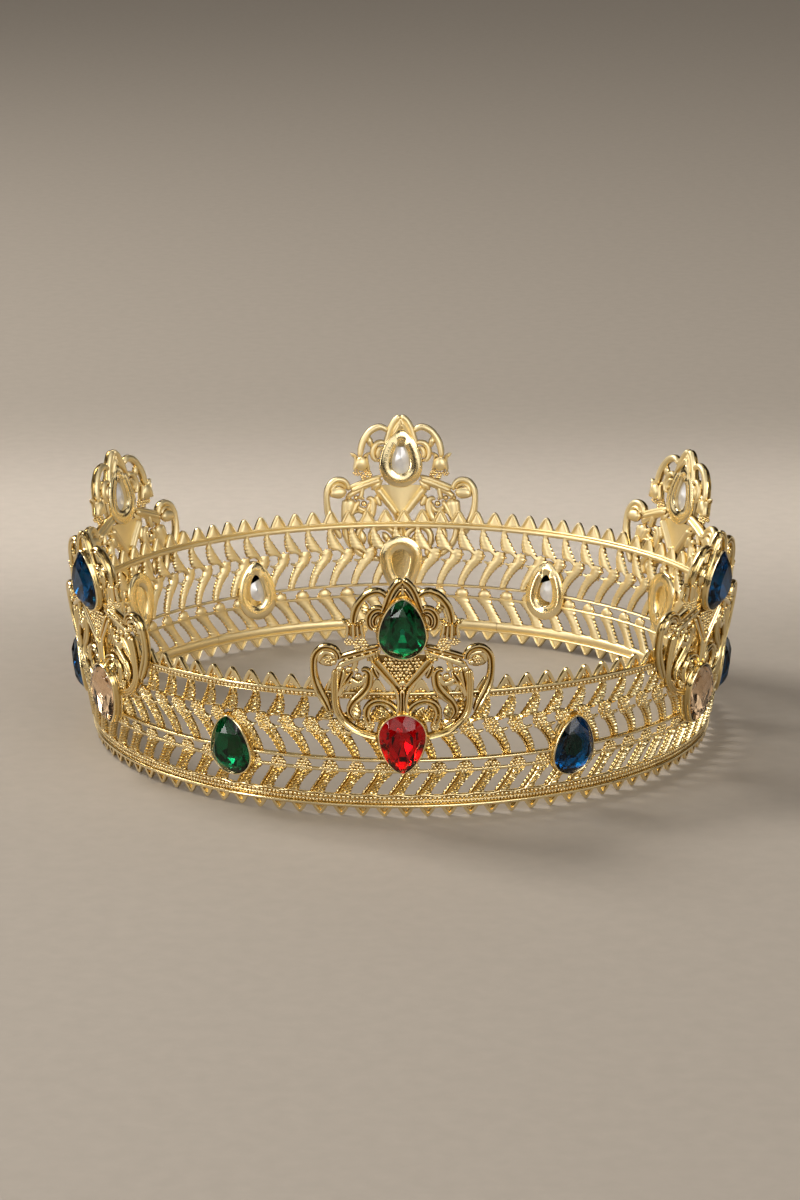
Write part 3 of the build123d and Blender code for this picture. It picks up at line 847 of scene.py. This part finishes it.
def make_stone():
    """A pear brilliant: table, star, kite and girdle facets over a foiled, silvered back."""
    mains = 8
    fine = 6                       # girdle points to each main facet
    around = mains * fine
    girdle = pear(around)
    kite = girdle[::fine] * 0.80
    table = girdle[fine // 2::fine] * 0.60
    lower = girdle[fine // 2::fine] * 0.50
    points = []

    def ring(outline, height):
        start = len(points)
        points.extend([(x, y, height) for x, y in outline])
        return start

    def fan(corner, outer, first, last):
        return [
            [corner, outer + step % around, outer + (step + 1) % around]
            for step in range(first, last)
        ]

    top = ring(table, TABLE_TOP)
    upper = ring(kite, KITE_TOP)
    above = ring(girdle, GIRDLE[1])
    below = ring(girdle, GIRDLE[0])
    pavilion = ring(lower, PAVILION_BREAK)
    culet = ring([CULET[:2]], CULET[2])
    half = fine // 2
    crown_faces = [[top + index for index in range(mains)]]
    back_faces = []
    for index in range(mains):
        after = (index + 1) % mains
        start = index * fine
        crown_faces.append([upper + index, top + index, top + (index - 1) % mains])
        crown_faces.append([upper + index, upper + after, top + index])
        crown_faces += fan(upper + index, above, start, start + half)
        crown_faces += fan(upper + after, above, start + half, start + fine)
        crown_faces.append([upper + index, above + start + half, upper + after])
        back_faces += fan(pavilion + index, below, start, start + fine)
        back_faces.append([pavilion + index, below + (start + fine) % around, pavilion + after])
        back_faces.append([pavilion + index, culet, pavilion + after])
    for index in range(around):
        after = (index + 1) % around
        crown_faces.append([above + index, below + index, below + after, above + after])
    # the silvering: a thin closed shell just behind the pavilion
    silver_faces = []
    front, back = (
        [ring(girdle * scale, height - drop) for scale, height in SILVER_RINGS]
        for drop in (0.0, SILVER_THICKNESS)
    )
    for index in range(around):
        after = (index + 1) % around
        for rings in (front, back):
            for outer, inner in zip(rings, rings[1:]):
                silver_faces.append([outer + index, outer + after, inner + after, inner + index])
        silver_faces.append([front[0] + index, back[0] + index, back[0] + after, front[0] + after])
        silver_faces.append([front[2] + index, front[2] + after, back[2] + after, back[2] + index])
    mesh = bpy.data.meshes.new("stone")
    mesh.from_pydata((np.array(points) * MM).tolist(), [], crown_faces + back_faces + silver_faces)
    face_outwards(mesh)
    glass_count = len(crown_faces)
    foiled_count = glass_count + len(back_faces)
    for polygon in mesh.polygons:
        behind_glass = polygon.index >= glass_count
        polygon.material_index = int(behind_glass) + int(polygon.index >= foiled_count)
        polygon.use_smooth = False
    return mesh


# ------------------------------------------------------------------ materials
def new_material(name):
    material = bpy.data.materials.new(name)
    material.use_nodes = True
    nodes = material.node_tree.nodes
    nodes.clear()
    output = nodes.new("ShaderNodeOutputMaterial")
    return material, nodes, material.node_tree.links, output


def noise(nodes, links, place, scale, detail):
    """Cloudy variation over an object, from about 0.3 to 0.7."""
    cloud = nodes.new("ShaderNodeTexNoise")
    cloud.inputs["Scale"].default_value = scale
    cloud.inputs["Detail"].default_value = detail
    links.new(place.outputs["Object"], cloud.inputs["Vector"])
    return cloud.outputs["Fac"]


def remap(nodes, links, value, low, high, start=0.0, end=1.0):
    """A value that runs from start to end, spread over low to high."""
    spread = nodes.new("ShaderNodeMapRange")
    spread.inputs["From Min"].default_value = start
    spread.inputs["From Max"].default_value = end
    spread.inputs["To Min"].default_value = low
    spread.inputs["To Max"].default_value = high
    links.new(value, spread.inputs["Value"])
    return spread.outputs["Result"]


def multiply_node(nodes):
    tint = nodes.new("ShaderNodeMix")
    tint.data_type = "RGBA"
    tint.blend_type = "MULTIPLY"
    tint.inputs["Factor"].default_value = 1.0
    return tint


def bumped(nodes, links, height, distance, strength):
    bump = nodes.new("ShaderNodeBump")
    bump.inputs["Strength"].default_value = strength
    bump.inputs["Distance"].default_value = distance
    links.new(height, bump.inputs["Height"])
    return bump.outputs["Normal"]


def gold_material():
    """Pale gold plate: paler on raised metal, with painted shade making it browner and darker in
    the recesses.
    """
    material, nodes, links, output = new_material("gold_plate")
    shader = nodes.new("ShaderNodeBsdfPrincipled")
    shader.inputs["Metallic"].default_value = 1.0
    place = nodes.new("ShaderNodeTexCoord")
    relief = nodes.new("ShaderNodeAttribute")
    relief.attribute_name = "relief"
    # painted shade: the relief runs the colour from dark brown at the bottom of recesses to pale
    # gold on raised metal
    depth = nodes.new("ShaderNodeValToRGB")
    stops = (
        (0.0, (0.14, 0.08, 0.025)),
        (0.4, (0.58, 0.41, 0.15)),
        (0.75, (0.89, 0.69, 0.32)),
        (1.0, (0.98, 0.82, 0.48)),
    )
    elements = depth.color_ramp.elements
    for index, (position, color) in enumerate(stops):
        element = elements[index] if index < 2 else elements.new(position)
        element.position = position
        element.color = (*color, 1)
    links.new(relief.outputs["Fac"], depth.inputs["Fac"])
    cloud = noise(nodes, links, place, scale=90, detail=4)
    tone = remap(nodes, links, cloud, low=0.82, high=1.12)
    tint = multiply_node(nodes)
    links.new(depth.outputs["Color"], tint.inputs["A"])
    links.new(tone, tint.inputs["B"])
    links.new(tint.outputs["Result"], shader.inputs["Base Color"])
    wear = noise(nodes, links, place, scale=700, detail=3)
    rough = remap(nodes, links, wear, low=0.08, high=0.22)
    satin = remap(nodes, links, relief.outputs["Fac"], low=0.0, high=0.3, start=1.0, end=INSIDE)
    total = nodes.new("ShaderNodeMath")
    links.new(rough, total.inputs[0])
    links.new(satin, total.inputs[1])
    links.new(total.outputs["Value"], shader.inputs["Roughness"])
    grain = noise(nodes, links, place, scale=1500, detail=2)
    links.new(bumped(nodes, links, grain, 0.0002, 0.12), shader.inputs["Normal"])
    links.new(shader.outputs["BSDF"], output.inputs["Surface"])
    return material


def mottled_material(name, color, mottle, settings, bump=None):
    """A colour that drifts a little lighter and darker over the surface. mottle is the drift's
    scale, darkest and lightest, and bump is how far and how strongly it dents the surface."""
    material, nodes, links, output = new_material(name)
    shader = nodes.new("ShaderNodeBsdfPrincipled")
    place = nodes.new("ShaderNodeTexCoord")
    scale, low, high = mottle
    cloud = noise(nodes, links, place, scale, detail=4)
    tone = remap(nodes, links, cloud, low, high, start=0.3, end=0.7)
    tint = multiply_node(nodes)
    tint.inputs["A"].default_value = (*color, 1)
    links.new(tone, tint.inputs["B"])
    links.new(tint.outputs["Result"], shader.inputs["Base Color"])
    for setting, value in settings.items():
        shader.inputs[setting].default_value = value
    if bump:
        links.new(bumped(nodes, links, cloud, *bump), shader.inputs["Normal"])
    links.new(shader.outputs["BSDF"], output.inputs["Surface"])
    return material


# Cut glass, its coloured foil and the silvering behind it, and the floor
GLASS = {"Roughness": 0.015, "IOR": 1.36, "Transmission Weight": 1.0}
FOIL = {"Metallic": 1.0, "Roughness": 0.06}
SILVER = {"Metallic": 0.35, "Roughness": 0.35}
FLOOR = {"Roughness": 0.65}
SILVER_COLOR = (0.86, 0.86, 0.88)
FLOOR_COLOR = (0.42, 0.375, 0.325)


# ------------------------------------------------------------------ the pieces in place
def show(name, mesh, slot, matrix):
    """A piece that stands for the CAD node of the same name."""
    piece = bpy.data.objects.new(name + "_look", mesh)
    bpy.context.scene.collection.objects.link(piece)
    piece.matrix_world = matrix
    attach(piece, "root")
    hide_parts(name)


def soften(mesh, degrees_sharp):
    """Smooth shading, with edges sharper than an angle kept crisp."""
    mesh.shade_smooth()
    mesh.set_sharp_from_angle(angle=radians(degrees_sharp))


# The colour of each stone's glass and of its foil
STONES = {
    "emerald": ((0.001, 0.12, 0.055), (0.45, 0.95, 0.70)),
    "ruby": ((0.66, 0.001, 0.005), (1.0, 0.45, 0.5)),
    "sapphire": ((0.001, 0.085, 0.18), (0.45, 0.75, 1.0)),
    "champagne": ((0.95, 0.72, 0.50), (1.0, 0.93, 0.85)),
}

gold = gold_material()
slot_of = {row["node"]: row["material_slot"] for row in frame["record"]["subparts"]}
glass = {
    name: mottled_material(name + "_glass", color, (90, 0.85, 1.15), GLASS, bump=(0.00002, 0.1))
    for name, (color, _) in STONES.items()
}
foil = {
    name: mottled_material(name + "_foil", color, (300, 0.7, 1.1), FOIL)
    for name, (_, color) in STONES.items()
}
silver = mottled_material("silvering", SILVER_COLOR, (500, 0.85, 1.05), SILVER, bump=(0.0002, 0.3))

band_mesh = make_band_segment()
crest_mesh = make_crest()
setting_mesh = make_setting()
stone_mesh = make_stone()
for mesh, degrees_sharp in ((band_mesh, 50), (crest_mesh, 50), (setting_mesh, 40)):
    soften(mesh, degrees_sharp)
    mesh.materials.append(gold)
stone_meshes = {}
for name in STONES:
    stone_meshes[name] = stone_mesh.copy()
    for material in (glass[name], foil[name], silver):
        stone_meshes[name].materials.append(material)

seats = {
    "upper": seat_matrix(0, UPPER_STONE, CREST_WALL, True),
    "lower": seat_matrix(0, LOWER_STONE, CREST_WALL, False),
    "band": seat_matrix(STONE_AZIMUTH, BAND_STONE, 0, True),
}
for sector in range(SECTORS):
    turn = Matrix.Rotation(sector * SECTOR_ANGLE, 4, "Z")
    number = sector + 1
    show(f"band_segment_{number}", band_mesh, "gold", turn)
    show(f"crest_{number}", crest_mesh, "gold", turn)
    for place, seat in seats.items():
        show(f"{place}_setting_{number}", setting_mesh, "gold", turn @ seat)
        node = f"{place}_stone_{number}"
        show(node, stone_meshes[slot_of[node]], slot_of[node], turn @ seat)


# ------------------------------------------------------------------ stage, lights, camera
FLOOR_SIZE = 6.0
SENSOR_WIDTH = 36
LENS = 106
CAMERA_PLACE = (-0.0021, -0.8831, 0.2722)
CAMERA_AIM = (-0.0004, 0, 0.0325)

# name, where it stands, what it points at, size, watts, colour and spread in degrees
LIGHTS = (
    ("key", (-0.9, 0.5, 1.1), (0, 0, 0), (0.6, 0.6), 15, (1.0, 0.95, 0.88), 180),
    ("front", (0.6, -1.2, 0.9), (0, 0, 0.02), (1.0, 0.6), 7, (1.0, 0.97, 0.93), 180),
    ("left_strip", (-0.9, -0.6, 0.35), (0, 0, 0.03), (0.12, 0.7), 3, (1.0, 0.97, 0.94), 180),
    ("behind_camera", (0, -2.0, 0.9), (0, 0, 0.05), (2.2, 0.9), 7, (1.0, 0.97, 0.92), 180),
    ("floor_streak", (0, 0.215, 0.9), (0, 0.215, 0), (2.4, 0.12), 0.8, (1.0, 0.97, 0.93), 20),
)


def make_floor():
    bpy.ops.mesh.primitive_plane_add(size=FLOOR_SIZE, location=(0, 0, 0))
    floor = bpy.context.object
    floor.name = "floor"
    material = mottled_material("pale_floor", FLOOR_COLOR, (220, 0.97, 1.03), FLOOR)
    floor.data.materials.append(material)


def area_light(name, location, target, size, power, color, spread):
    light = bpy.data.lights.new(name, "AREA")
    light.shape = "RECTANGLE"
    light.size, light.size_y = size
    light.energy = power
    light.color = color
    light.spread = radians(spread)
    lamp = bpy.data.objects.new(name, light)
    lamp.location = location
    lamp.rotation_euler = (Vector(target) - Vector(location)).to_track_quat("-Z", "Y").to_euler()
    bpy.context.scene.collection.objects.link(lamp)


def make_world():
    """Soft, uneven room light: pale panels and dark gaps, for the polished metal to mirror."""
    world = bpy.data.worlds.new("studio")
    world.use_nodes = True
    nodes = world.node_tree.nodes
    links = world.node_tree.links
    background = nodes["Background"]
    place = nodes.new("ShaderNodeTexCoord")
    panels = nodes.new("ShaderNodeTexNoise")
    panels.inputs["Scale"].default_value = 2.6
    panels.inputs["Detail"].default_value = 1.5
    links.new(place.outputs["Generated"], panels.inputs["Vector"])
    ramp = nodes.new("ShaderNodeValToRGB")
    ramp.color_ramp.elements[0].position = 0.45
    ramp.color_ramp.elements[0].color = (0.015, 0.012, 0.01, 1)
    ramp.color_ramp.elements[1].position = 0.60
    ramp.color_ramp.elements[1].color = (1.0, 0.94, 0.85, 1)
    middle = ramp.color_ramp.elements.new(0.52)
    middle.color = (0.18, 0.155, 0.13, 1)
    links.new(panels.outputs["Fac"], ramp.inputs["Fac"])
    links.new(ramp.outputs["Color"], background.inputs["Color"])
    background.inputs["Strength"].default_value = 0.9
    bpy.context.scene.world = world
    bpy.context.scene.view_settings.view_transform = "Standard"


def make_camera():
    camera = bpy.data.cameras.new("camera")
    camera.sensor_width = SENSOR_WIDTH
    camera.lens = LENS
    camera.clip_start = 0.01
    holder = bpy.data.objects.new("camera", camera)
    holder.location = CAMERA_PLACE
    aim = Vector(CAMERA_AIM) - holder.location
    holder.rotation_euler = aim.to_track_quat("-Z", "Y").to_euler()
    bpy.context.scene.collection.objects.link(holder)
    bpy.context.scene.camera = holder


make_floor()
for light in LIGHTS:
    area_light(*light)
make_world()
make_camera()
